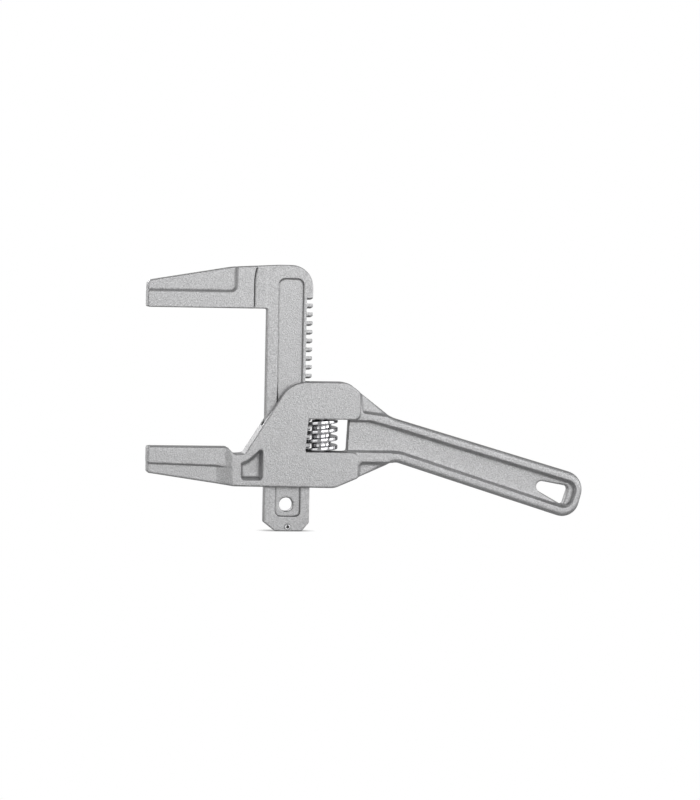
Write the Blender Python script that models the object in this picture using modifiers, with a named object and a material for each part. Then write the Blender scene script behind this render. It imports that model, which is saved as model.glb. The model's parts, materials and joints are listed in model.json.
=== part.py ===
"""Adjustable wide-opening wrench, modelled in metres with +Z up.

The tool stands in the XZ plane: +Z is the way the jaws open, +X runs along the handle, and Y is
the thickness. The origin is the middle of the fixed jaw's gripping face, on the tool's mid-plane.
A die-cast body carries the fixed jaw and the handle. An L-shaped sliding jaw runs in a channel
through the head, and a worm on a vertical axle drives the rack along its beam.
"""
import math

import bmesh
import bpy
from mathutils import Matrix, Vector

MM = 0.001

# Fit and mechanism
GAP = 0.3 * MM                 # clearance between pieces that touch
OPENING = 75.8 * MM            # distance between the gripping faces as modelled
PITCH = 4.8 * MM               # rack pitch and worm lead
MESH_HEIGHT = 3.15 * MM        # height of one worm ridge where it sits in the rack

# Thicknesses, all centred on the mid-plane
HEAD_THICK = 17.0 * MM
JAW_THICK = 15.0 * MM
JAW_RECESS_THICK = 12.4 * MM
HANDLE_THICK = 14.6 * MM
GUSSET_THICK = 9.2 * MM
WEB_THICK = 8.0 * MM
BEAM_THICK = 9.0 * MM
BEAM_POCKET_THICK = 7.0 * MM
CORNER_POCKET_THICK = 7.0 * MM
CLEAR_OF_TOOL = 14.0 * MM      # half depth that lies outside the tool everywhere
BELOW_TOOL = -60.0 * MM        # a height under the whole tool
ABOVE_TOOL = 120.0 * MM        # a height over the whole tool

# Sliding jaw
BEAM_LEFT = 43.3 * MM
BEAM_RIGHT = 68.3 * MM
TOOTH_DEPTH = 3.4 * MM
TOOTH_GAP = 2.8 * MM
TOOTH_SLANT = 0.104            # fall of a tooth for each metre across the thickness
FIRST_TOOTH_GAP = -2           # counted from MESH_HEIGHT in steps of one pitch
LAST_TOOTH_GAP = 16
HANG_HOLE = (55.5 * MM, -31.3 * MM)
HANG_HOLE_RADIUS = 3.8 * MM
STOP_PIN = (56.4 * MM, -43.5 * MM)
STOP_PIN_RADIUS = 1.45 * MM
STOP_PIN_WALL = 0.6 * MM
STOP_PIN_SLIT = 0.4 * MM
STOP_PIN_PROUD = 0.5 * MM

# Head and handle
MOUTH_LEFT = 30.0 * MM         # side of the notch that lets the upper jaw into the channel
MOUTH_FLOOR = 12.0 * MM
FIXED_JAW_STEP = -9.9 * MM     # height where the fixed jaw's raised band ends

# Worm and its axle
AXLE_X = 74.8 * MM
AXLE_RADIUS = 2.4 * MM
AXLE_TOP = 24.0 * MM
AXLE_HEAD_RADIUS = 3.9 * MM
AXLE_HEAD_HEIGHT = 3.0 * MM
AXLE_SLOT_WIDTH = 1.0 * MM
AXLE_SLOT_DEPTH = 1.2 * MM
BODY_BOTTOM = -21.3 * MM
WORM_LOW = -1.7 * MM
WORM_HIGH = 15.2 * MM
WORM_RADIUS = 9.0 * MM
WORM_CORE_RADIUS = 5.4 * MM
WORM_RIDGE_ROOT = 2.3 * MM     # ridge thickness at the core
WORM_RIDGE_TIP = 1.7 * MM      # ridge thickness at the rim
SPRING_POCKET_RADIUS = 4.2 * MM
SPRING_POCKET_DEPTH = 5.0 * MM
SPRING_WIRE_RADIUS = 0.4 * MM
SPRING_RADIUS = 3.35 * MM
SPRING_TURNS = 4

# Flat outlines as corners (x mm, z mm, corner radius mm), in order round each shape
BODY_OUTLINE = [
    (-21.3, 0.0, 1.0), (22.4, 0.0, 0.8), (26.2, -3.8, 3.0), (31.8, -3.4, 3.0),
    (56.5, 36.2, 16.0), (88.0, 36.2, 8.0), (113.0, 17.3, 14.0),
    (222.7, -14.4, 10.5), (216.2, -38.9, 9.5), (115.2, -7.2, 6.0), (81.6, -21.8, 9.0),
    (26.0, -21.3, 8.0), (-21.3, -14.4, 1.2),
]
HEAD_EDGE_RIGHT = [
    (95.3, 50.0, 0), (95.3, 15.4, 4.0), (89.4, 15.4, 0), (88.9, -1.8, 0), (94.4, -1.8, 4.0),
    (94.9, -60.0, 0), (240.0, -60.0, 0), (240.0, 50.0, 0),
]
UPPER_GUSSET = [(94.2, 45.0, 0), (97.0, 20.0, 1.6), (112.0, 18.1, 0), (130.0, 50.0, 0)]
LOWER_GUSSET = [(95.8, -7.8, 2.0), (113.0, -8.2, 0), (118.0, -30.0, 0), (94.6, -30.0, 0)]
HANDLE_WEB = [
    (84.0, 15.1, 0), (101.0, 15.1, 14.0), (217.4, -18.6, 5.0), (213.0, -32.0, 5.0),
    (117.5, -1.65, 16.0), (84.0, -1.65, 0),
]
HANDLE_SLOT = [(195.1, -16.6, 3.0), (213.5, -19.9, 2.0), (210.2, -30.4, 1.6), (195.1, -22.0, 3.0)]
CORNER_POCKET = [
    (29.9, -17.5, 1.6), (41.5, -17.5, 1.6), (41.5, 0.2, 1.0), (37.6, -3.8, 0),
    (33.6, -7.1, 0), (29.9, -8.8, 0.8),
]
WORM_WINDOW = [(65.1, -2.0, 0.5), (88.7, -2.0, 1.6), (89.6, 15.8, 0.6), (66.6, 15.8, 0.5)]
SLIDE_OUTLINE = [
    (-22.4, 75.8, 1.0), (43.3, 75.8, 0.8), (43.3, -41.1, 1.0), (49.5, -45.9, 1.6),
    (64.2, -45.9, 1.0), (68.3, -41.1, 1.0),
    (68.3, 99.9, 12.0), (50.0, 99.9, 30.0), (24.0, 98.4, 30.0), (-22.4, 90.4, 3.0),
]
SLIDE_RECESS = [(-40.0, 85.1, 0), (25.8, 85.1, 3.0), (25.8, 120.0, 0), (-40.0, 120.0, 0)]
BEAM_POCKET = [
    (49.5, -35.9, 0.8), (51.3, -37.7, 0.8), (63.1, -37.7, 2.5), (63.1, 92.4, 3.3),
    (49.5, 92.4, 3.3),
]

# Side faces seen from above, as corners (x mm, half thickness mm), for the front half
FIXED_JAW_SIDE = [(-40.0, 7.5), (21.2, 7.5), (26.6, 9.0), (26.6, 20.0), (-40.0, 20.0)]
FIXED_JAW_LOWER_SIDE = [(-40.0, 6.2), (16.6, 6.2), (26.6, 9.0), (26.6, 20.0), (-40.0, 20.0)]
BEAM_SIDE = [
    (35.0, 8.5), (36.4, 4.6), (42.8, 4.6), (42.9, 4.5), (90.0, 4.5), (90.0, 20.0), (35.0, 20.0),
]

# Fineness of the surfaces
WELD = 0.001 * MM              # points nearer than this are one point
ARC_STEP = math.radians(15)    # turn of one straight piece of a rounded corner
SHARP_EDGE = math.radians(30)  # fold that is shaded as an edge
HOLE_SIDES = 32
PIN_SIDES = 20
PIN_BORE_SIDES = 16
THREAD_SIDES = 32
SPRING_SIDES = 14              # straight pieces in one turn of the wire

# Materials: name, colour, roughness, metallic
CAST = ("cast_aluminium", (0.50, 0.50, 0.51), 0.50, 0.85)
CHROME = ("chrome", (0.75, 0.75, 0.77), 0.12, 1.0)
STEEL = ("steel", (0.42, 0.42, 0.43), 0.35, 1.0)


def make_collection(name):
    """Return a new collection linked to the scene."""
    collection = bpy.data.collections.new(name)
    bpy.context.scene.collection.children.link(collection)
    return collection


def make_material(name, colour, roughness, metallic):
    """Return a Principled material."""
    material = bpy.data.materials.new(name)
    material.use_nodes = True
    shader = material.node_tree.nodes["Principled BSDF"]
    shader.inputs["Base Color"].default_value = (*colour, 1.0)
    shader.inputs["Roughness"].default_value = roughness
    shader.inputs["Metallic"].default_value = metallic
    material.diffuse_color = (*colour, 1.0)
    return material


def rounded(corners):
    """Return the outline's points in metres, each corner replaced by an arc of its radius."""
    points = []
    count = len(corners)
    for index, (x, z, radius) in enumerate(corners):
        here = Vector((x, z)) * MM
        if not radius:
            points.append(here)
            continue
        back = (Vector(corners[index - 1][:2]) * MM - here).normalized()
        ahead = (Vector(corners[(index + 1) % count][:2]) * MM - here).normalized()
        half = back.angle(ahead) / 2
        centre = here + (back + ahead).normalized() * (radius * MM / math.sin(half))
        first = here + back * (radius * MM / math.tan(half)) - centre
        last = here + ahead * (radius * MM / math.tan(half)) - centre
        turn = math.atan2(first.x * last.y - first.y * last.x, first.dot(last))
        steps = max(2, round(abs(turn) / ARC_STEP))
        for step in range(steps + 1):
            points.append(centre + Matrix.Rotation(turn * step / steps, 2) @ first)
    return points


def add_mesh(name, mesh, collection):
    """Link a mesh as a new object."""
    item = bpy.data.objects.new(name, mesh)
    collection.objects.link(item)
    return item


def extrude_points(name, points, low, high, upright, collection):
    """Extrude a flat outline from low to high: along Y if upright, or else along Z."""
    curve = bpy.data.curves.new(name, "CURVE")
    curve.dimensions = "2D"
    curve.fill_mode = "BOTH"
    curve.extrude = (high - low) / 2
    spline = curve.splines.new("POLY")
    spline.points.add(len(points) - 1)
    spline.use_cyclic_u = True
    for target, point in zip(spline.points, points):
        target.co = (point[0], point[1], 0, 1)
    item = add_mesh(name, curve, collection)
    middle = (low + high) / 2
    if upright:
        item.rotation_euler = (math.pi / 2, 0, 0)
        item.location = (0, middle, 0)
    else:
        item.location = (0, 0, middle)
    bpy.context.view_layer.update()
    return curve_to_mesh(item, collection)


def curve_to_mesh(item, collection):
    """Replace a curve object by a welded mesh object whose mesh lies in world coordinates."""
    name = item.name
    evaluated = item.evaluated_get(bpy.context.evaluated_depsgraph_get())
    mesh = bpy.data.meshes.new_from_object(evaluated)
    mesh.transform(item.matrix_world)
    shape = bmesh.new()
    shape.from_mesh(mesh)
    bmesh.ops.remove_doubles(shape, verts=shape.verts, dist=WELD)
    bmesh.ops.recalc_face_normals(shape, faces=shape.faces)
    shape.to_mesh(mesh)
    shape.free()
    bpy.data.objects.remove(item)
    return add_mesh(name, mesh, collection)


def plate(name, corners, low, high, collection):
    """A flat plate in the XZ plane, between two depths along Y."""
    return extrude_points(name, rounded(corners), low, high, True, collection)


def cylinder(name, radius, centre, axis, low, high, collection, sides=HOLE_SIDES):
    """A closed cylinder along Y or Z through centre, which gives the other two coordinates."""
    shape = bmesh.new()
    bmesh.ops.create_cone(shape, cap_ends=True, segments=sides, radius1=radius, radius2=radius,
                          depth=high - low)
    middle = (low + high) / 2
    if axis == "Y":
        place = Matrix.Translation((centre[0], middle, centre[1]))
        place @= Matrix.Rotation(math.pi / 2, 4, "X")
    else:
        place = Matrix.Translation((centre[0], centre[1], middle))
    bmesh.ops.transform(shape, matrix=place, verts=shape.verts)
    mesh = bpy.data.meshes.new(name)
    shape.to_mesh(mesh)
    shape.free()
    return add_mesh(name, mesh, collection)


def box(name, low, high, collection):
    """A box between two corners."""
    shape = bmesh.new()
    bmesh.ops.create_cube(shape, size=1)
    size = [b - a for a, b in zip(low, high)]
    middle = [(a + b) / 2 for a, b in zip(low, high)]
    bmesh.ops.scale(shape, vec=size, verts=shape.verts)
    bmesh.ops.translate(shape, vec=middle, verts=shape.verts)
    mesh = bpy.data.meshes.new(name)
    shape.to_mesh(mesh)
    shape.free()
    return add_mesh(name, mesh, collection)


def combine(target, other, operation="DIFFERENCE"):
    """Cut or join target with another object, which stays as a hidden guide."""
    modifier = target.modifiers.new(other.name, "BOOLEAN")
    modifier.operation = operation
    modifier.object = other
    other.hide_render = True
    other.display_type = "WIRE"


def cut_both_sides(target, name, corners, thickness, guides):
    """Lower the front and back faces to a thickness inside a flat outline."""
    for side, low, high in (("front", -CLEAR_OF_TOOL, -thickness / 2),
                            ("back", thickness / 2, CLEAR_OF_TOOL)):
        combine(target, plate(f"{name}_{side}", corners, low, high, guides))


def cut_sides_from_above(target, name, profile, low, high, guides):
    """Shape the front and back faces with a profile that is extruded along Z."""
    for side, sign in (("front", -1), ("back", 1)):
        points = [Vector((x, y * sign)) * MM for x, y in profile]
        combine(target, extrude_points(f"{name}_{side}", points, low, high, False, guides))


def set_origin(item, point):
    """Move an object's origin to a world point without moving its surface."""
    item.data.transform(Matrix.Translation(-Vector(point)))
    item.location = point


def finish(item, material, origin=(0, 0, 0)):
    """Give a piece its material, origin and smooth round faces."""
    set_origin(item, origin)
    item.data.materials.clear()
    item.data.materials.append(material)
    item.data.shade_smooth()
    item.data.set_sharp_from_angle(angle=SHARP_EDGE)


def make_body(parts, guides):
    """The casting: fixed jaw, head with channel and worm window, and I-section handle."""
    half = HEAD_THICK / 2
    body = plate("body_casting", BODY_OUTLINE, -half, half, parts)
    top = BODY_OUTLINE[0][1] * MM + GAP
    cut_sides_from_above(body, "jaw_side", FIXED_JAW_SIDE, BELOW_TOOL, top, guides)
    cut_sides_from_above(body, "jaw_lower_side", FIXED_JAW_LOWER_SIDE, BELOW_TOOL, FIXED_JAW_STEP,
                         guides)
    cut_both_sides(body, "handle_side", HEAD_EDGE_RIGHT, HANDLE_THICK, guides)
    cut_both_sides(body, "upper_gusset", UPPER_GUSSET, GUSSET_THICK, guides)
    cut_both_sides(body, "lower_gusset", LOWER_GUSSET, GUSSET_THICK, guides)
    cut_both_sides(body, "handle_web", HANDLE_WEB, WEB_THICK, guides)
    cut_both_sides(body, "corner_pocket", CORNER_POCKET, CORNER_POCKET_THICK, guides)
    combine(body, plate("handle_slot", HANDLE_SLOT, -CLEAR_OF_TOOL, CLEAR_OF_TOOL, guides))
    combine(body, plate("worm_window", WORM_WINDOW, -CLEAR_OF_TOOL, CLEAR_OF_TOOL, guides))
    slot_half = BEAM_THICK / 2 + GAP
    combine(body, box("channel", (BEAM_LEFT - GAP, -slot_half, BELOW_TOOL),
                      (BEAM_RIGHT + GAP, slot_half, ABOVE_TOOL), guides))
    combine(body, box("channel_mouth", (MOUTH_LEFT, -slot_half, MOUTH_FLOOR),
                      (BEAM_LEFT, slot_half, ABOVE_TOOL), guides))
    centre = (AXLE_X, 0)
    bore_top = AXLE_TOP + GAP
    combine(body, cylinder("axle_bore", AXLE_RADIUS + GAP, centre, "Z", BELOW_TOOL, bore_top, guides))
    head_top = BODY_BOTTOM + AXLE_HEAD_HEIGHT + 2 * GAP
    combine(body, cylinder("axle_counterbore", AXLE_HEAD_RADIUS + GAP, centre, "Z", BELOW_TOOL,
                           head_top, guides))
    return body


def make_slide(parts, guides):
    """The L-shaped sliding jaw with its rack, hang hole and shallow beam pockets."""
    half = JAW_THICK / 2
    slide = plate("sliding_jaw", SLIDE_OUTLINE, -half, half, parts)
    cut_sides_from_above(slide, "beam_side", BEAM_SIDE, BELOW_TOOL, ABOVE_TOOL, guides)
    cut_both_sides(slide, "slide_recess", SLIDE_RECESS, JAW_RECESS_THICK, guides)
    cut_both_sides(slide, "beam_pocket", BEAM_POCKET, BEAM_POCKET_THICK, guides)
    for number in range(FIRST_TOOTH_GAP, LAST_TOOTH_GAP + 1):
        gap = box(f"tooth_gap_{number - FIRST_TOOTH_GAP}",
                  (BEAM_RIGHT - TOOTH_DEPTH, -CLEAR_OF_TOOL, -TOOTH_GAP / 2),
                  (BEAM_RIGHT + TOOTH_DEPTH, CLEAR_OF_TOOL, TOOTH_GAP / 2), guides)
        gap.rotation_euler = (-math.atan(TOOTH_SLANT), 0, 0)
        gap.location = (0, 0, MESH_HEIGHT + PITCH * number)
        combine(slide, gap)
    combine(slide, cylinder("hang_hole", HANG_HOLE_RADIUS, HANG_HOLE, "Y", -CLEAR_OF_TOOL,
                            CLEAR_OF_TOOL, guides))
    combine(slide, cylinder("stop_pin_hole", STOP_PIN_RADIUS + GAP, STOP_PIN, "Y", -CLEAR_OF_TOOL,
                            CLEAR_OF_TOOL, guides, sides=PIN_SIDES))
    return slide


def make_stop_pin(parts, guides):
    """A slit spring pin pressed through the end of the beam, standing proud on both faces."""
    half = BEAM_THICK / 2 + STOP_PIN_PROUD
    pin = cylinder("stop_pin", STOP_PIN_RADIUS, STOP_PIN, "Y", -half, half, parts, sides=PIN_SIDES)
    bore = STOP_PIN_RADIUS - STOP_PIN_WALL
    combine(pin, cylinder("stop_pin_bore", bore, STOP_PIN, "Y", -CLEAR_OF_TOOL, CLEAR_OF_TOOL, guides,
                          sides=PIN_BORE_SIDES))
    x, z = STOP_PIN
    combine(pin, box("stop_pin_slit", (x - STOP_PIN_SLIT / 2, -CLEAR_OF_TOOL, z),
                     (x + STOP_PIN_SLIT / 2, CLEAR_OF_TOOL, z + 2 * STOP_PIN_RADIUS), guides))
    return pin


def make_worm(parts, guides):
    """The thumb worm: one right-hand helical ridge on a bored core, squared off at both ends."""
    centre = (AXLE_X, 0)
    turns_below = math.ceil((MESH_HEIGHT - WORM_LOW) / PITCH) + 1
    turns_above = math.ceil((WORM_HIGH - MESH_HEIGHT) / PITCH) + 1
    profile = [(WORM_CORE_RADIUS, -PITCH / 2), (WORM_CORE_RADIUS, -WORM_RIDGE_ROOT / 2),
               (WORM_RADIUS, -WORM_RIDGE_TIP / 2), (WORM_RADIUS, WORM_RIDGE_TIP / 2),
               (WORM_CORE_RADIUS, WORM_RIDGE_ROOT / 2), (WORM_CORE_RADIUS, PITCH / 2)]
    shape = bmesh.new()
    corners = [shape.verts.new((-radius, 0, height)) for radius, height in profile]
    for first, second in zip(corners, corners[1:]):
        shape.edges.new((first, second))
    mesh = bpy.data.meshes.new("worm")
    shape.to_mesh(mesh)
    shape.free()
    thread = add_mesh("worm", mesh, parts)
    thread.location = (AXLE_X, 0, MESH_HEIGHT - turns_below * PITCH)
    screw = thread.modifiers.new("turns", "SCREW")
    screw.screw_offset = PITCH
    screw.iterations = turns_below + turns_above
    screw.steps = THREAD_SIDES
    screw.render_steps = THREAD_SIDES
    screw.use_smooth_shade = False
    screw.merge_threshold = WELD
    bpy.context.view_layer.update()
    thread = cap_thread(thread, parts)
    side = 2 * WORM_RADIUS
    combine(thread, box("worm_length", (AXLE_X - side, -side, WORM_LOW), (AXLE_X + side, side, WORM_HIGH),
                        guides), "INTERSECT")
    combine(thread, cylinder("worm_bore", AXLE_RADIUS + GAP, centre, "Z", BELOW_TOOL, ABOVE_TOOL,
                             guides))
    combine(thread, cylinder("spring_pocket", SPRING_POCKET_RADIUS, centre, "Z",
                             WORM_HIGH - SPRING_POCKET_DEPTH, ABOVE_TOOL, guides))
    return thread


def cap_thread(item, collection):
    """Apply the Screw modifier and close each open end with a fan to a point on the axis."""
    name = item.name
    axis_x = item.location.x
    evaluated = item.evaluated_get(bpy.context.evaluated_depsgraph_get())
    mesh = bpy.data.meshes.new_from_object(evaluated)
    mesh.transform(item.matrix_world)
    shape = bmesh.new()
    shape.from_mesh(mesh)
    bmesh.ops.remove_doubles(shape, verts=shape.verts, dist=WELD)
    rim = [edge for edge in shape.edges if edge.is_boundary]
    heights = [vert.co.z for edge in rim for vert in edge.verts]
    middle = (min(heights) + max(heights)) / 2
    for above in (False, True):
        loop = [edge for edge in rim if (edge.verts[0].co.z > middle) == above]
        level = sum(edge.verts[0].co.z for edge in loop) / len(loop)
        hub = shape.verts.new((axis_x, 0, level))
        for edge in loop:
            shape.faces.new((*edge.verts, hub))
    bmesh.ops.recalc_face_normals(shape, faces=shape.faces)
    bmesh.ops.triangulate(shape, faces=shape.faces)
    shape.to_mesh(mesh)
    shape.free()
    bpy.data.objects.remove(item)
    return add_mesh(name, mesh, collection)


def make_axle(parts, guides):
    """The worm's axle: a plain pin with a slotted head sunk in the underside of the body."""
    centre = (AXLE_X, 0)
    low = BODY_BOTTOM + GAP
    axle = cylinder("worm_axle", AXLE_RADIUS, centre, "Z", low + AXLE_HEAD_HEIGHT / 2, AXLE_TOP, parts)
    combine(axle, cylinder("axle_head", AXLE_HEAD_RADIUS, centre, "Z", low, low + AXLE_HEAD_HEIGHT,
                           guides), "UNION")
    side = 2 * AXLE_HEAD_RADIUS
    combine(axle, box("axle_slot", (AXLE_X - side, -AXLE_SLOT_WIDTH / 2, low - AXLE_SLOT_DEPTH),
                      (AXLE_X + side, AXLE_SLOT_WIDTH / 2, low + AXLE_SLOT_DEPTH), guides))
    return axle


def make_spring(parts):
    """A short coil spring round the axle, in the worm's pocket, that takes up end play."""
    low = WORM_HIGH - SPRING_POCKET_DEPTH + GAP + SPRING_WIRE_RADIUS
    high = WORM_WINDOW[2][1] * MM - GAP - SPRING_WIRE_RADIUS
    total = SPRING_TURNS * SPRING_SIDES
    curve = bpy.data.curves.new("worm_spring", "CURVE")
    curve.dimensions = "3D"
    curve.bevel_depth = SPRING_WIRE_RADIUS
    curve.bevel_resolution = 2
    curve.use_fill_caps = True
    spline = curve.splines.new("POLY")
    spline.points.add(total)
    for index, point in enumerate(spline.points):
        angle = 2 * math.pi * index / SPRING_SIDES
        height = low + (high - low) * index / total
        point.co = (AXLE_X + SPRING_RADIUS * math.cos(angle), SPRING_RADIUS * math.sin(angle), height, 1)
    item = add_mesh("worm_spring", curve, parts)
    bpy.context.view_layer.update()
    return curve_to_mesh(item, parts)


def main():
    """Build the whole wrench."""
    for item in list(bpy.data.objects):
        bpy.data.objects.remove(item)
    parts = make_collection("adjustable_wrench")
    guides = make_collection("cutters")
    cast = make_material(*CAST)
    chrome = make_material(*CHROME)
    steel = make_material(*STEEL)
    worm_axis = (AXLE_X, 0, (WORM_LOW + WORM_HIGH) / 2)
    finish(make_body(parts, guides), cast)
    finish(make_slide(parts, guides), cast, ((BEAM_LEFT + BEAM_RIGHT) / 2, 0, OPENING))
    finish(make_stop_pin(parts, guides), steel, (STOP_PIN[0], 0, STOP_PIN[1]))
    finish(make_worm(parts, guides), chrome, worm_axis)
    finish(make_axle(parts, guides), steel, worm_axis)
    finish(make_spring(parts), steel, worm_axis)


main()
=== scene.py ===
"""The looks of the adjustable wide-opening wrench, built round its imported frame.

The two castings, the worm and the stop pin are rebuilt as fine meshes from distance fields, which
give every cast edge its radius, every recess its draft and every inner corner its fillet. Lengths
are in millimetres until a mesh is made, and in metres after that.
"""
import itertools
import json
import math

import bpy
import numpy as np
from mathutils import Matrix, Vector


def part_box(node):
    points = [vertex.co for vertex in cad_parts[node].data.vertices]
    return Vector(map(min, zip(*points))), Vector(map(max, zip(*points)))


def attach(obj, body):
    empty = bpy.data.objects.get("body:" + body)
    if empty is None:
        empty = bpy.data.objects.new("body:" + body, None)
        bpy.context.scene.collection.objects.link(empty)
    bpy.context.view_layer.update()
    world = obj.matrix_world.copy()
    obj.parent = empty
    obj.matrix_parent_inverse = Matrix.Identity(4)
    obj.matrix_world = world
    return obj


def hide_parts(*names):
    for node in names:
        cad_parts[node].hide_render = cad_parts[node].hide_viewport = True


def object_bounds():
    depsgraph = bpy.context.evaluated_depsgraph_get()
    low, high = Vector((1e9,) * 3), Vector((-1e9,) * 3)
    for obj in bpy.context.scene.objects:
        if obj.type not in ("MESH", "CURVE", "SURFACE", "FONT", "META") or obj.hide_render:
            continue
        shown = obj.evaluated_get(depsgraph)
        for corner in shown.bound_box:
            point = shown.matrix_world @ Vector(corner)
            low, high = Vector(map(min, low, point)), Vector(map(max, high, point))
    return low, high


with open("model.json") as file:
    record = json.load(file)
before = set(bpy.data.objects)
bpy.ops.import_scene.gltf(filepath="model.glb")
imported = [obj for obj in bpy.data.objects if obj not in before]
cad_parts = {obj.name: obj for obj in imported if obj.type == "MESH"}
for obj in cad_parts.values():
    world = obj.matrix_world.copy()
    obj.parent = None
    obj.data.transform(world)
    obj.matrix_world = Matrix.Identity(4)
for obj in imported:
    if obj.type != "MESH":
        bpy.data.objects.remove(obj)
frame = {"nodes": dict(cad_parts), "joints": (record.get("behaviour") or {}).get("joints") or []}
CAD_LOW, CAD_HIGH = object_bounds()

MM = 0.001

# Voxel sizes in millimetres
CASTING_STEP = 0.4
WORM_STEP = 0.2
PIN_STEP = 0.08

# Light levels: the white that the camera sees, and what the metal reflects round it
WHITE = 1.0
SURROUND = 0.28
FLOOR_BOUNCE = 0.5

# Mechanism, as in the frame: the worm's lead, a height where its ridge is in the rack's middle
# plane, and the slant of the rack's teeth
PITCH = 4.8
MESH_HEIGHT = 3.15
TOOTH_SLANT = 0.104
WORM_JOINT = next(joint for joint in frame["joints"] if joint["name"] == "worm_spin")
AXLE_X = WORM_JOINT["pos_m"][0] / MM
PIN_LOW, PIN_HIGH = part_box("stop_pin")
PIN_X = (PIN_LOW[0] + PIN_HIGH[0]) / 2 / MM
PIN_Z = (PIN_LOW[2] + PIN_HIGH[2]) / 2 / MM

# Half thicknesses
HEAD_HALF = 8.5
JAW_HALF = 7.5
RAIL_HALF = 7.3
BEAM_HALF = 4.5
CHANNEL_HALF = 4.75

# Radii and faces that more than one shape uses
WORM_RADIUS = 9.0
CORE_RADIUS = 5.4
PIN_RADIUS = 1.45
PIN_BORE = 0.85
PIN_HOLE = 1.5
BEAM_FACE = 43.3
GRIP_FACE = 75.8
MOUTH_FLOOR = 12.0

# Outlines as corners (x, z, corner radius), in order round each shape
BODY_OUTLINE = [
    (-21.3, 0.0, 1.0), (22.4, 0.0, 0.8), (26.2, -3.8, 3.0), (31.8, -3.4, 3.0),
    (56.5, 36.2, 16.0), (88.0, 36.2, 8.0), (113.0, 17.3, 14.0),
    (222.7, -14.4, 10.5), (216.2, -38.9, 9.5), (115.2, -7.2, 6.0), (81.6, -21.8, 9.0),
    (26.0, -21.3, 8.0), (-21.3, -14.4, 1.2),
]
HANDLE_SIDE = [
    (95.3, 50.0, 0), (95.3, 15.4, 4.0), (89.4, 15.4, 0), (88.9, -1.8, 0), (94.4, -1.8, 4.0),
    (94.9, -60.0, 0), (240.0, -60.0, 0), (240.0, 50.0, 0),
]
UPPER_GUSSET = [(94.2, 45.0, 0), (97.0, 20.0, 1.6), (112.0, 18.1, 0), (130.0, 50.0, 0)]
LOWER_GUSSET = [(95.8, -7.8, 2.0), (113.0, -8.2, 0), (118.0, -30.0, 0), (94.6, -30.0, 0)]
HANDLE_WEB = [
    (84.0, 15.1, 0), (101.0, 15.1, 14.0), (217.4, -18.6, 5.0), (213.0, -32.0, 5.0),
    (117.5, -1.65, 16.0), (84.0, -1.65, 0),
]
HANDLE_SLOT = [(195.1, -16.6, 3.0), (213.5, -19.9, 2.0), (210.2, -30.4, 1.6), (195.1, -22.0, 3.0)]
CORNER_POCKET = [
    (29.9, -17.5, 1.6), (41.5, -17.5, 1.6), (41.5, 0.2, 1.0), (37.6, -3.8, 0),
    (33.6, -7.1, 0), (29.9, -8.8, 0.8),
]
WORM_WINDOW = [(65.1, -2.0, 0.5), (88.7, -2.0, 1.6), (89.6, 15.8, 0.6), (66.6, 15.8, 0.5)]
SLIDE_OUTLINE = [
    (-22.4, GRIP_FACE, 1.0), (BEAM_FACE, GRIP_FACE, 0.8), (BEAM_FACE, -41.1, 1.0),
    (49.5, -45.9, 1.6), (64.2, -45.9, 1.0), (68.3, -41.1, 1.0),
    (68.3, 99.9, 12.0), (50.0, 99.9, 30.0), (24.0, 98.4, 30.0), (-22.4, 90.4, 3.0),
]
SLIDE_RECESS = [(-40.0, 85.1, 0), (25.8, 85.1, 3.0), (25.8, 120.0, 0), (-40.0, 120.0, 0)]
BEAM_POCKET = [
    (49.5, -35.9, 0.8), (51.3, -37.7, 0.8), (63.1, -37.7, 2.5), (63.1, 92.4, 3.3),
    (49.5, 92.4, 3.3),
]


# ---------------------------------------------------------------- distance fields

def arc_points(corners):
    """An outline's points, each corner replaced by an arc of its radius."""
    arc_step = math.radians(7)
    points = []
    for index, (x, z, radius) in enumerate(corners):
        here = Vector((x, z))
        if not radius:
            points.append(here)
            continue
        back = (Vector(corners[index - 1][:2]) - here).normalized()
        ahead = (Vector(corners[(index + 1) % len(corners)][:2]) - here).normalized()
        half = back.angle(ahead) / 2
        centre = here + (back + ahead).normalized() * (radius / math.sin(half))
        first = here + back * (radius / math.tan(half)) - centre
        last = here + ahead * (radius / math.tan(half)) - centre
        turn = math.atan2(first.x * last.y - first.y * last.x, first.dot(last))
        steps = max(2, round(abs(turn) / arc_step))
        for step in range(steps + 1):
            points.append(centre + Matrix.Rotation(turn * step / steps, 2) @ first)
    return np.array([tuple(point) for point in points])


def outline_distance(x, z, corners):
    """Signed distance to an outline on a grid of x and z, negative inside."""
    points = arc_points(corners)
    nearest = np.full(np.broadcast(x, z).shape, np.inf)
    inside = np.zeros(nearest.shape, bool)
    for (ax, az), (bx, bz) in zip(points, np.roll(points, -1, axis=0)):
        dx, dz = bx - ax, bz - az
        length = dx * dx + dz * dz
        if length < 1e-12:
            continue
        along = np.clip(((x - ax) * dx + (z - az) * dz) / length, 0, 1)
        away = (x - ax - along * dx) ** 2 + (z - az - along * dz) ** 2
        nearest = np.minimum(nearest, away)
        if dz:
            inside ^= ((az > z) != (bz > z)) & (x < ax + dx * (z - az) / dz)
    return np.where(inside, -1, 1) * np.sqrt(nearest)


def round_max(a, b, radius):
    """The intersection of two fields, its edge rounded to a radius."""
    joined = np.hypot(np.maximum(a + radius, 0), np.maximum(b + radius, 0))
    return np.minimum(np.maximum(a, b), -radius) + joined


def round_min(a, b, radius):
    """The union of two fields, with a fillet of a radius between them."""
    return -round_max(-a, -b, radius)


def ramp(value, soft):
    """Zero below zero and rising above it, with a soft bend."""
    return 0.5 * (value + np.sqrt(value * value + soft * soft))


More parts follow.
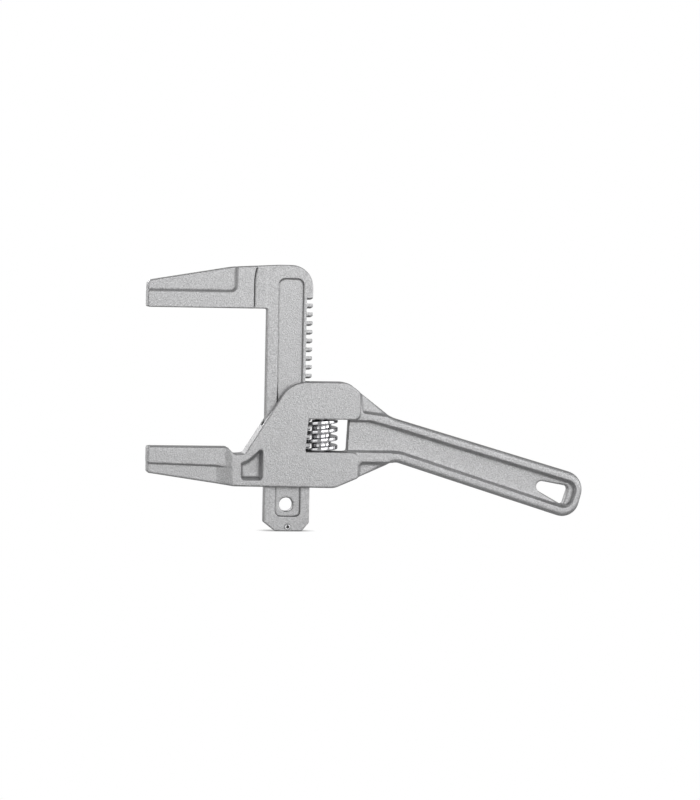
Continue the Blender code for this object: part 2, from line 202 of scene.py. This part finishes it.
def lowered(height, x, z, corners, level, steepness, soft, edge, inset):
    """A half-thickness field lowered to a level inside an outline, with drafted walls.

    The wall's foot stands inside the outline by the inset, soft bends the foot, and edge rounds
    the wall's upper edge.
    """
    region = outline_distance(x, z, corners)
    wall = level - 0.5 * soft + ramp((region + inset) * steepness, soft)
    return round_min(height, wall, edge)


def without(solid, hole, edge):
    """A solid with a hole cut out of it, the hole's rim rounded."""
    return round_max(solid, -hole, edge)


def grid(low, high, step):
    """Coordinates of a box of voxels as three arrays that broadcast in the order x, y, z."""
    x, y, z = (np.arange(a - 2 * step, b + 3 * step, step) for a, b in zip(low, high))
    return x[:, None, None], y[None, :, None], z[None, None, :]


def plate_field(x, y, z, outline, height, edge):
    """A plate whose half thickness varies over its outline, with rounded edges."""
    step = x[1, 0, 0] - x[0, 0, 0]
    slope_x, slope_z = np.gradient(height[:, 0, :], step)
    steep = np.sqrt(1 + slope_x ** 2 + slope_z ** 2)[:, None, :]
    return round_max(outline, (np.abs(y) - height) / steep, edge)


def surface_nets(field, x, y, z):
    """Points and quads of the surface where a field crosses zero."""
    inside = field < 0
    shape = np.array(field.shape)
    count = np.zeros(shape - 1, np.int8)
    for offset in itertools.product((0, 1), repeat=3):
        count += inside[tuple(slice(o, n - 1 + o) for o, n in zip(offset, shape))]
    cells = np.argwhere((count > 0) & (count < 8))
    number = np.full(shape - 1, -1, np.int32)
    number[tuple(cells.T)] = np.arange(len(cells))
    total = np.zeros((len(cells), 3))
    hits = np.zeros(len(cells))
    unit = np.eye(3, dtype=int)
    for axis in range(3):
        others = [other for other in range(3) if other != axis]
        for a, b in itertools.product((0, 1), repeat=2):
            start = a * unit[others[0]] + b * unit[others[1]]
            first = field[tuple((cells + start).T)]
            second = field[tuple((cells + start + unit[axis]).T)]
            cross = (first < 0) != (second < 0)
            part = first[cross] / (first[cross] - second[cross])
            total[cross] += start + part[:, None] * unit[axis]
            hits[cross] += 1
    step = x[1, 0, 0] - x[0, 0, 0]
    origin = np.array([x[0, 0, 0], y[0, 0, 0], z[0, 0, 0]])
    points = origin + step * (cells + total / hits[:, None])
    quads = []
    for axis in range(3):
        b, c = (axis + 1) % 3, (axis + 2) % 3
        low = [slice(None)] * 3
        high = [slice(None)] * 3
        low[axis] = slice(0, -1)
        high[axis] = slice(1, None)
        changed = np.argwhere(inside[tuple(low)] != inside[tuple(high)])
        loop = [changed, changed - unit[b], changed - unit[b] - unit[c], changed - unit[c]]
        faces = np.stack([number[tuple(corner.T)] for corner in loop], axis=1)
        outward = inside[tuple(changed.T)]
        faces[~outward] = faces[~outward][:, ::-1]
        quads.append(faces)
    return points, np.concatenate(quads)


def points_and_normals(mesh):
    """A mesh's points and their normals, as rows of x, y and z."""
    rows = []
    for name in ("co", "normal"):
        values = np.empty(len(mesh.vertices) * 3)
        mesh.vertices.foreach_get(name, values)
        rows.append(values.reshape(-1, 3))
    return rows


def store(mesh, name, values):
    """Store a number at each point of a mesh."""
    layer = mesh.attributes.new(name, "FLOAT", "POINT")
    layer.data.foreach_set("value", np.asarray(values, np.float32))


def crease_and_outer_edge(mesh, step):
    """Store how much each point lies in an inner corner, and how much on an outer edge."""
    count = len(mesh.vertices)
    points, normals = points_and_normals(mesh)
    ends = np.empty(len(mesh.edges) * 2, np.int64)
    mesh.edges.foreach_get("vertices", ends)
    first, second = ends.reshape(-1, 2).T
    across = points[second] - points[first]
    bend = np.bincount(first, (across * normals[first]).sum(axis=1), count)
    bend -= np.bincount(second, (across * normals[second]).sum(axis=1), count)
    edges = np.bincount(first, minlength=count) + np.bincount(second, minlength=count)
    bend /= edges * step * MM
    for _ in range(2):
        near = np.bincount(first, bend[second], count) + np.bincount(second, bend[first], count)
        bend = (bend + near / edges) / 2
    store(mesh, "crease", np.clip(bend, 0, 1))
    store(mesh, "outer_edge", np.clip(-bend, 0, 1))


def mesh_object(name, points, quads):
    """A smooth shaded object in metres from points in millimetres."""
    mesh = bpy.data.meshes.new(name)
    mesh.vertices.add(len(points))
    mesh.vertices.foreach_set("co", (points * MM).astype(np.float32).ravel())
    mesh.loops.add(quads.size)
    mesh.loops.foreach_set("vertex_index", quads.astype(np.int32).ravel())
    mesh.polygons.add(len(quads))
    mesh.polygons.foreach_set("loop_start", np.arange(0, quads.size, 4, dtype=np.int32))
    mesh.update(calc_edges=True)
    mesh.validate()
    mesh.shade_smooth()
    item = bpy.data.objects.new(name, mesh)
    bpy.context.scene.collection.objects.link(item)
    return item


def box_mm(node):
    """A frame node's corners in millimetres."""
    low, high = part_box(node)
    return np.array(low) / MM, np.array(high) / MM


# ---------------------------------------------------------------- castings

def body_field(x, y, z):
    """The body casting: fixed jaw, head and handle."""
    outline = outline_distance(x, z, BODY_OUTLINE)
    height = np.full(outline.shape, HEAD_HALF)

    # The jaw is thinner than the head, and its lower part is thinner again below a slanting step
    jaw_end, step_end, draft = 21.2, 16.6, 0.28
    height = round_min(height, JAW_HALF + ramp((x - jaw_end) * draft, 0.05), 0.3)
    slope = 6.2 + ramp((x - step_end) * draft, 0.1)
    step_height = -9.9 - 0.03 * (x + 2.0)
    lower = slope + np.minimum(ramp((z - step_height) * 2.4, 0.3) - 0.15, 3.0)
    height = round_min(height, lower, 0.3)

    gusset = {"level": 4.6, "steepness": 2.4, "soft": 1.0, "edge": 0.5, "inset": 0.5}
    height = lowered(height, x, z, HANDLE_SIDE, level=RAIL_HALF, steepness=2.0, soft=0.5, edge=0.4,
                     inset=0.2)
    height = lowered(height, x, z, UPPER_GUSSET, **gusset)
    height = lowered(height, x, z, LOWER_GUSSET, **gusset)
    from_window = np.clip((x - 90.0) / 26.0, 0, 1)
    height = lowered(height, x, z, HANDLE_WEB, level=4.0, steepness=6.0 - 3.2 * from_window,
                     soft=1.0, edge=0.4, inset=0.3)
    height = lowered(height, x, z, CORNER_POCKET, level=3.8, steepness=4.6, soft=2.0, edge=0.7,
                     inset=1.0)

    # The head's edge is crisp and the handle's is round
    handle = np.clip((x - 96.0) / 18.0, 0, 1)
    edge = 0.8 + 1.7 * handle * handle * (3 - 2 * handle)
    solid = plate_field(x, y, z, outline, height, edge)

    low, high = box_mm("sliding_jaw")
    middle, half, gap = (BEAM_FACE + high[0]) / 2, (high[0] - BEAM_FACE) / 2, 0.3
    from_axle = np.hypot(x - AXLE_X, y)
    beside_mouth = np.maximum(np.abs(x - 37.0) - 7.0, np.abs(y) - CHANNEL_HALF)
    holes = (
        (outline_distance(x, z, WORM_WINDOW), 0.35),
        (outline_distance(x, z, HANDLE_SLOT), 0.9),
        (np.maximum(np.abs(x - middle) - half - gap, np.abs(y) - CHANNEL_HALF), 0.2),
        (np.maximum(beside_mouth, MOUTH_FLOOR - z), 0.25),
        (np.maximum(from_axle - 2.45, z - 24.2), 0.2),
        (np.maximum(from_axle - 4.0, z + 17.7), 0.4),
    )
    for hole, rim in holes:
        solid = without(solid, hole, rim)
    return solid


def slide_field(x, y, z):
    """The sliding jaw: jaw, beam and rack."""
    outline = outline_distance(x, z, SLIDE_OUTLINE)
    height = np.full(outline.shape, JAW_HALF)
    block_end = 36.4 + 1.4 * np.clip((z - 90.0) / 9.0, 0, 1) ** 2
    ledge = np.clip((42.9 - x) * 1.5, 0, 0.1)
    beam = BEAM_HALF + ramp((block_end - x) * 2.8, 0.3) - 0.15 + ledge
    height = round_min(height, beam, 0.4)
    height = lowered(height, x, z, SLIDE_RECESS, level=6.2, steepness=1.0, soft=0.15, edge=0.15,
                     inset=0.7)
    height = lowered(height, x, z, BEAM_POCKET, level=3.5, steepness=2.0, soft=0.2, edge=0.15,
                     inset=0.25)
    edge = 0.55 - 0.35 * np.clip((x - 65.5) / 1.5, 0, 1)
    solid = plate_field(x, y, z, outline, height, edge)

    first_gap, last_gap, half_gap, rack_floor = -2, 16, 1.4, 64.9
    level = (z + TOOTH_SLANT * y - MESH_HEIGHT) / PITCH
    nearest = np.clip(np.round(level), first_gap, last_gap)
    tooth_gap = np.abs(level - nearest) * PITCH - half_gap
    solid = without(solid, round_max(tooth_gap, rack_floor - x, 0.2), 0.1)

    solid = without(solid, np.hypot(x - 55.5, z + 31.3) - 3.8, 0.5)
    return without(solid, np.hypot(x - PIN_X, z - PIN_Z) - PIN_HOLE, 0.08)


def worm_field(x, y, z):
    """The worm: bored core, helical ridge and spring pocket."""
    low, high = box_mm("worm")
    radius = np.hypot(x - AXLE_X, y)
    turn = np.arctan2(y, x - AXLE_X) / (2 * math.pi) - 0.5
    level = (z - MESH_HEIGHT) / PITCH - turn
    across = np.abs(level - np.round(level)) * PITCH

    # The ridge is thinner towards its crest
    half_root, taper = 1.22, 0.22
    flank = across - half_root + taper * (radius - CORE_RADIUS) / (WORM_RADIUS - CORE_RADIUS)
    ridge = round_max(flank, radius - WORM_RADIUS, 0.35)
    solid = round_min(ridge, radius - CORE_RADIUS, 0.5)
    ends = np.abs(z - (low[2] + high[2]) / 2) - (high[2] - low[2]) / 2
    solid = round_max(solid, ends, 0.35)
    solid = without(solid, radius - 2.5, 0.2)
    return without(solid, np.maximum(radius - 4.2, high[2] - 5.0 - z), 0.2)


def pin_field(x, y, z):
    """The stop pin: a rolled tube with a slit in its upper side."""
    high = box_mm("stop_pin")[1]
    radius = np.hypot(x - PIN_X, z - PIN_Z)
    solid = round_max(radius - PIN_RADIUS, np.abs(y) - high[1], 0.1)
    solid = without(solid, radius - PIN_BORE, 0.06)
    half_slit = 0.12
    return np.maximum(solid, -np.maximum(np.abs(x - PIN_X) - half_slit, PIN_Z - z))


# What the surfaces carry, each found from a point's place and its normal. Painted shade darkens a
# point, and a ground face is smooth and bright.

def body_grime(x, y, z, nx, ny, nz):
    """Painted shade on the walls of the beam's channel and of the worm's window."""
    depth = -outline_distance(x, z, BODY_OUTLINE)
    channel = (np.abs(y) < 4.9) & (x < 69.0) & (depth > 0.2) & ((x > 42.5) | (z > 11.0))
    window = (np.abs(outline_distance(x, z, WORM_WINDOW)) < 0.25) & (np.abs(y) < 7.5)
    return channel | window


def body_ground(x, y, z, nx, ny, nz):
    """The ground gripping face of the fixed jaw."""
    return (z > -0.6) & (nz > 0.9) & (x < 22.6)


def slide_grime(x, y, z, nx, ny, nz):
    """Painted shade on the walls of the shallow recess, the pockets and the block's end."""
    depth = -outline_distance(x, z, SLIDE_OUTLINE)
    return 0.85 * ((depth > 0.9) & (np.abs(ny) < 0.6) & (np.abs(y) > 3.0) & (x < 64.0))


def slide_ground(x, y, z, nx, ny, nz):
    """The ground gripping face of the sliding jaw and the guide face of its beam."""
    grip = (np.abs(z - GRIP_FACE) < 0.6) & (nz < -0.9)
    guide = (np.abs(x - BEAM_FACE) < 0.6) & (nx < -0.9)
    return grip | guide


def pin_grime(x, y, z, nx, ny, nz):
    """Painted shade: the black inside of the stop pin's tube."""
    return np.hypot(x - PIN_X, z - PIN_Z) < PIN_BORE + 0.04


def cast_piece(name, node, field, step, body, material_slot, material, **marks):
    """Build one piece from its distance field in place of a frame node, with its marks."""
    x, y, z = grid(*box_mm(node), step * (1))
    item = mesh_object(name, *surface_nets(field(x, y, z), x, y, z))
    crease_and_outer_edge(item.data, x[1, 0, 0] - x[0, 0, 0])
    points, normals = points_and_normals(item.data)
    for mark, where in marks.items():
        store(item.data, mark, where(*points.T / MM, *normals.T))
    item.data.materials.append(material)
    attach(item, body)
    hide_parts(node)


# ---------------------------------------------------------------- materials

class Tree:
    """A Principled material and short ways to add nodes to it."""

    def __init__(self, name, colour, roughness, metallic):
        self.material = bpy.data.materials.new(name)
        self.material.use_nodes = True
        self.nodes = self.material.node_tree.nodes
        self.links = self.material.node_tree.links
        self.shader = self.nodes["Principled BSDF"]
        self.set(self.shader, "Base Color", (*colour, 1))
        self.set(self.shader, "Roughness", roughness)
        self.set(self.shader, "Metallic", metallic)
        self.place = self.nodes.new("ShaderNodeTexCoord").outputs["Object"]

    def set(self, node, name, value):
        """Set an input's value, or link it if the value is another node's output."""
        if isinstance(value, bpy.types.NodeSocket):
            self.links.new(value, node.inputs[name])
        else:
            node.inputs[name].default_value = value

    def math(self, operation, *values, clamp=False):
        """A math node's result."""
        node = self.nodes.new("ShaderNodeMath")
        node.operation = operation
        node.use_clamp = clamp
        for index, value in enumerate(values):
            self.set(node, index, value)
        return node.outputs[0]

    def scaled(self, vector, scale):
        """A vector with each axis scaled by its own factor."""
        node = self.nodes.new("ShaderNodeMapping")
        self.set(node, "Vector", vector)
        self.set(node, "Scale", scale)
        return node.outputs[0]

    def noise(self, scale, detail=2.0, roughness=0.5, vector=None):
        """Noise from 0 to 1, with scale in cells for each metre."""
        node = self.nodes.new("ShaderNodeTexNoise")
        self.set(node, "Vector", vector or self.place)
        self.set(node, "Scale", scale)
        self.set(node, "Detail", detail)
        self.set(node, "Roughness", roughness)
        return node.outputs["Fac"]

    def spread(self, value, low, high, to_low, to_high):
        """A value stretched from one range to another, and held at its ends."""
        node = self.nodes.new("ShaderNodeMapRange")
        self.set(node, "Value", value)
        self.set(node, "From Min", low)
        self.set(node, "From Max", high)
        self.set(node, "To Min", to_low)
        self.set(node, "To Max", to_high)
        return node.outputs[0]

    def blend(self, factor, first, second):
        """A mix of two numbers."""
        node = self.nodes.new("ShaderNodeMix")
        self.set(node, 0, factor)
        self.set(node, 2, first)
        self.set(node, 3, second)
        return node.outputs[0]

    def grey(self, value, blue=1.0):
        """A grey colour from a number, a little cooler where blue is over 1."""
        node = self.nodes.new("ShaderNodeCombineColor")
        self.set(node, "Red", value)
        self.set(node, "Green", value)
        self.set(node, "Blue", self.math("MULTIPLY", value, blue))
        return node.outputs[0]

    def bump(self, height, depth, under=None):
        """Tilt the surface by a height in units of depth, which is in metres."""
        node = self.nodes.new("ShaderNodeBump")
        self.set(node, "Distance", depth)
        self.set(node, "Height", height)
        if under:
            self.set(node, "Normal", under)
        return node.outputs["Normal"]

    def component(self, vector, axis):
        """One axis of a vector."""
        node = self.nodes.new("ShaderNodeSeparateXYZ")
        self.set(node, "Vector", vector)
        return node.outputs[axis]

    def attribute(self, name):
        """A number that the mesh stores at each point."""
        node = self.nodes.new("ShaderNodeAttribute")
        node.attribute_name = name
        return node.outputs["Fac"]

    def choose(self, share, first, second):
        """A mix of two shaders."""
        node = self.nodes.new("ShaderNodeMixShader")
        self.set(node, 0, share)
        self.set(node, 1, first)
        self.set(node, 2, second)
        return node.outputs[0]


def cast_material(name, corner_shade):
    """Bead-blasted die-cast aluminium, its edges rubbed smoother and darkened by painted shade,
    and its gripping face ground.

    Corner shade is how much darker the painted shade makes the inner corners.
    """
    tree = Tree(name, (0.6, 0.6, 0.6), 0.5, 1.0)
    grain = tree.noise(1500, 2.0, 0.6)
    pits = tree.noise(3400, 1.0)
    clouds = tree.noise(75, 4.0, 0.6)
    strokes = tree.noise(600, 2.0, 0.6, tree.scaled(tree.place, (6.0, 0.15, 1.0)))
    ground = tree.attribute("ground")
    grime = tree.attribute("grime")

    # The outer edges are smoother where rubbed, and their colour is darkened as painted shade.
    patchy = tree.spread(tree.noise(500, 3.0), 0.3, 0.7, -0.04, 0.04)
    rubbed_and_shaded_edge = tree.spread(tree.math("ADD", tree.attribute("outer_edge"), patchy), 0.05, 0.22, 0.0, 1.0)
    rubbed_and_shaded_edge = tree.math("MULTIPLY", rubbed_and_shaded_edge, 0.10)
    # Painted shade: the colour is darker in the inner corners and on the walls marked as shaded.
    cavity = tree.spread(tree.attribute("crease"), 0.01, 0.12, 0.0, 1.0)
    cavity = tree.math("MAXIMUM", cavity, grime)

    shade = tree.spread(grain, 0.30, 0.70, 0.46, 0.70)
    shade = tree.math("ADD", shade, tree.spread(clouds, 0.35, 0.65, -0.03, 0.03))
    shade = tree.math("SUBTRACT", shade, tree.math("MULTIPLY", cavity, corner_shade))
    shade = tree.math("SUBTRACT", shade, tree.math("MULTIPLY", grime, 0.2))
    shade = tree.math("MAXIMUM", tree.math("SUBTRACT", shade, rubbed_and_shaded_edge), 0.03)
    tree.set(tree.shader, "Base Color", tree.grey(tree.blend(ground, shade, 0.72), 1.01))
    rough = tree.math("SUBTRACT", tree.spread(clouds, 0.3, 0.7, 0.46, 0.56), rubbed_and_shaded_edge)
    tree.set(tree.shader, "Roughness", tree.blend(ground, rough, 0.26))

    sand = tree.math("ADD", tree.math("MULTIPLY", grain, 0.7), tree.math("MULTIPLY", pits, 0.3))
    relief = tree.blend(ground, sand, tree.math("MULTIPLY", strokes, 0.25))
    parting_half = 0.00035
    seam = tree.math("ABSOLUTE", tree.component(tree.place, "Y"))
    seam = tree.spread(seam, 0.0, parting_half, 0.6, 0.0)
    relief = tree.math("ADD", relief, tree.blend(ground, seam, 0.0))
    tree.set(tree.shader, "Normal", tree.bump(relief, 0.0003))
    return tree.material


def chrome_material(name):
    """Bright chrome plate with a faint haze and hairline scratches round the ridge.

    Its colour is darkened in the inner corners, such as the thread's roots, as painted shade.
    """
    tree = Tree(name, (0.80, 0.80, 0.82), 0.08, 1.0)
    haze = tree.noise(300, 3.0, 0.6)
    lines = tree.noise(900, 2.0, 0.5, tree.scaled(tree.place, (0.3, 0.3, 5.0)))
    # Painted shade in the inner corners.
    cavity = tree.spread(tree.attribute("crease"), 0.02, 0.3, 0.0, 1.0)
    shade = tree.math("SUBTRACT", tree.spread(haze, 0.3, 0.7, 0.76, 0.86),
                      tree.math("MULTIPLY", cavity, 0.7))
    tree.set(tree.shader, "Base Color", tree.grey(shade, 1.02))
    tree.set(tree.shader, "Roughness", tree.spread(haze, 0.3, 0.7, 0.05, 0.16))
    tree.set(tree.shader, "Normal", tree.bump(lines, 0.00001))
    return tree.material


def steel_material(name, shade, roughness, line_scale):
    """Bare steel with fine turning or drawing lines and a darker, oiled bloom.

    Where a piece marks it, the colour is painted black as shade, as inside the stop pin's tube.
    """
    tree = Tree(name, (shade, shade, shade), roughness, 1.0)
    bloom = tree.noise(400, 4.0, 0.6)
    lines = tree.noise(1000, 2.0, 0.5, tree.scaled(tree.place, line_scale))
    tone = tree.spread(bloom, 0.3, 0.7, shade * 0.78, shade * 1.15)
    # Painted shade: black where the piece marks it.
    tone = tree.blend(tree.attribute("grime"), tone, 0.02)
    tree.set(tree.shader, "Base Color", tree.grey(tone, 1.02))
    rough = tree.spread(bloom, 0.3, 0.7, roughness * 1.3, roughness * 0.8)
    tree.set(tree.shader, "Roughness", rough)
    tree.set(tree.shader, "Normal", tree.bump(lines, 0.00002))
    return tree.material


body_alu = cast_material("body_cast_aluminium", 0.15)
slide_alu = cast_material("slide_cast_aluminium", 0.40)
chrome = chrome_material("bright_chrome")
axle_steel = steel_material("turned_steel", 0.50, 0.30, (0.3, 0.3, 6.0))
spring_steel = steel_material("drawn_spring_steel", 0.42, 0.28, (1.0, 1.0, 6.0))
pin_steel = steel_material("rolled_pin_steel", 0.93, 0.45, (3.0, 0.3, 3.0))

cast_piece("body_cast", "body_casting", body_field, CASTING_STEP, "body", "body_aluminium",
           body_alu, grime=body_grime, ground=body_ground)
cast_piece("slide_cast", "sliding_jaw", slide_field, CASTING_STEP, "slide", "slide_aluminium",
           slide_alu, grime=slide_grime, ground=slide_ground)
cast_piece("worm_thread", "worm", worm_field, WORM_STEP, "worm", "worm_chrome", chrome)
cast_piece("stop_pin_roll", "stop_pin", pin_field, PIN_STEP, "slide", "pin_steel", pin_steel,
           grime=pin_grime)
for node, material in (("worm_axle", axle_steel), ("worm_spring", spring_steel)):
    frame["nodes"][node].data.materials.clear()
    frame["nodes"][node].data.materials.append(material)


# ---------------------------------------------------------------- stage

def make_floor():
    """A wide white floor with a soft shadow where the tool comes near it.

    The beam reaches below the floor when the jaw closes. The camera sees only the floor's shadow
    in front of the white surround, and light passes up through the floor, so that the beam stays
    whole.
    """
    floor_radius = 1.1
    shadow_reach = 0.007
    bpy.ops.mesh.primitive_circle_add(vertices=96, radius=floor_radius, fill_type="NGON",
                                      location=(0.1, 0, CAD_LOW.z))
    floor = bpy.context.object
    floor.name = "floor"
    tree = Tree("floor_white", (FLOOR_BOUNCE, FLOOR_BOUNCE, FLOOR_BOUNCE), 0.9, 0.0)
    near = tree.nodes.new("ShaderNodeAmbientOcclusion")
    near.samples = 16
    tree.set(near, "Distance", shadow_reach)
    clear = tree.nodes.new("ShaderNodeBsdfTransparent").outputs[0]
    dark = tree.nodes.new("ShaderNodeEmission")
    tree.set(dark, "Strength", 0.0)
    darkness = tree.spread(near.outputs["AO"], 0.35, 0.93, 0.55, 0.0)
    shadow = tree.choose(darkness, clear, dark.outputs[0])
    seen = tree.nodes.new("ShaderNodeLightPath").outputs["Is Camera Ray"]
    from_below = tree.nodes.new("ShaderNodeNewGeometry").outputs["Backfacing"]
    from_above = tree.choose(seen, tree.shader.outputs[0], shadow)
    look = tree.choose(from_below, from_above, clear)
    tree.set(tree.nodes["Material Output"], "Surface", look)
    floor.data.materials.append(tree.material)


def make_world():
    """A white surround for the camera, and a dim one for what the metal reflects."""
    world = bpy.data.worlds.new("studio")
    bpy.context.scene.world = world
    world.use_nodes = True
    nodes, links = world.node_tree.nodes, world.node_tree.links
    seen = nodes.new("ShaderNodeLightPath").outputs["Is Camera Ray"]
    strength = nodes.new("ShaderNodeMapRange")
    strength.inputs["To Min"].default_value = SURROUND
    strength.inputs["To Max"].default_value = WHITE
    links.new(seen, strength.inputs["Value"])
    background = nodes["Background"]
    background.inputs["Color"].default_value = (1, 1, 1, 1)
    links.new(strength.outputs[0], background.inputs["Strength"])


def make_light(name, location, width, height, power):
    """A soft rectangular light that points at the tool and doesn't show itself."""
    light = bpy.data.lights.new(name, "AREA")
    light.shape = "RECTANGLE"
    light.size = width
    light.size_y = height
    light.energy = power
    item = bpy.data.objects.new(name, light)
    bpy.context.scene.collection.objects.link(item)
    item.location = location
    target = (CAD_LOW + CAD_HIGH) / 2
    item.rotation_euler = (target - Vector(location)).to_track_quat("-Z", "Y").to_euler()
    item.visible_camera = False


def make_camera():
    """The camera a little to the jaws' side of square, turned a degree clockwise."""
    azimuth, elevation, roll = math.radians(-8.3), math.radians(2.5), math.radians(1.1)
    distance = 1.8
    target = Vector((0.09035, 0, 0.02634))
    back = Vector((math.sin(azimuth) * math.cos(elevation),
                   -math.cos(azimuth) * math.cos(elevation), math.sin(elevation)))
    right = Vector((math.cos(azimuth), math.sin(azimuth), 0))
    up = back.cross(right)
    turned = right * math.cos(roll) + up * math.sin(roll)
    up = back.cross(turned)
    camera = bpy.data.cameras.new("camera")
    camera.sensor_width = 36
    camera.lens = 147.3
    item = bpy.data.objects.new("camera", camera)
    bpy.context.scene.collection.objects.link(item)
    axes = Matrix((turned, up, back)).transposed().to_4x4()
    item.matrix_world = Matrix.Translation(target + back * distance) @ axes
    bpy.context.scene.camera = item


# Name, place, width, height and power in watts
LIGHTS = (
    ("key_light", (0.45, -1.42, 0.30), 1.2, 0.9, 8.9),
    ("left_light", (-1.1, -0.9, 0.20), 1.0, 0.8, 2.6),
    ("right_light", (1.4, -0.5, 0.20), 0.8, 0.8, 6),
    ("rim_light", (-0.60, 1.1, 0.80), 0.5, 0.4, 6.5),
    ("end_light", (-1.0, 1.0, 0.15), 0.6, 0.6, 2.5),
)

make_floor()
make_world()
for light in LIGHTS:
    make_light(*light)
bpy.context.scene.view_settings.view_transform = "Standard"
make_camera()
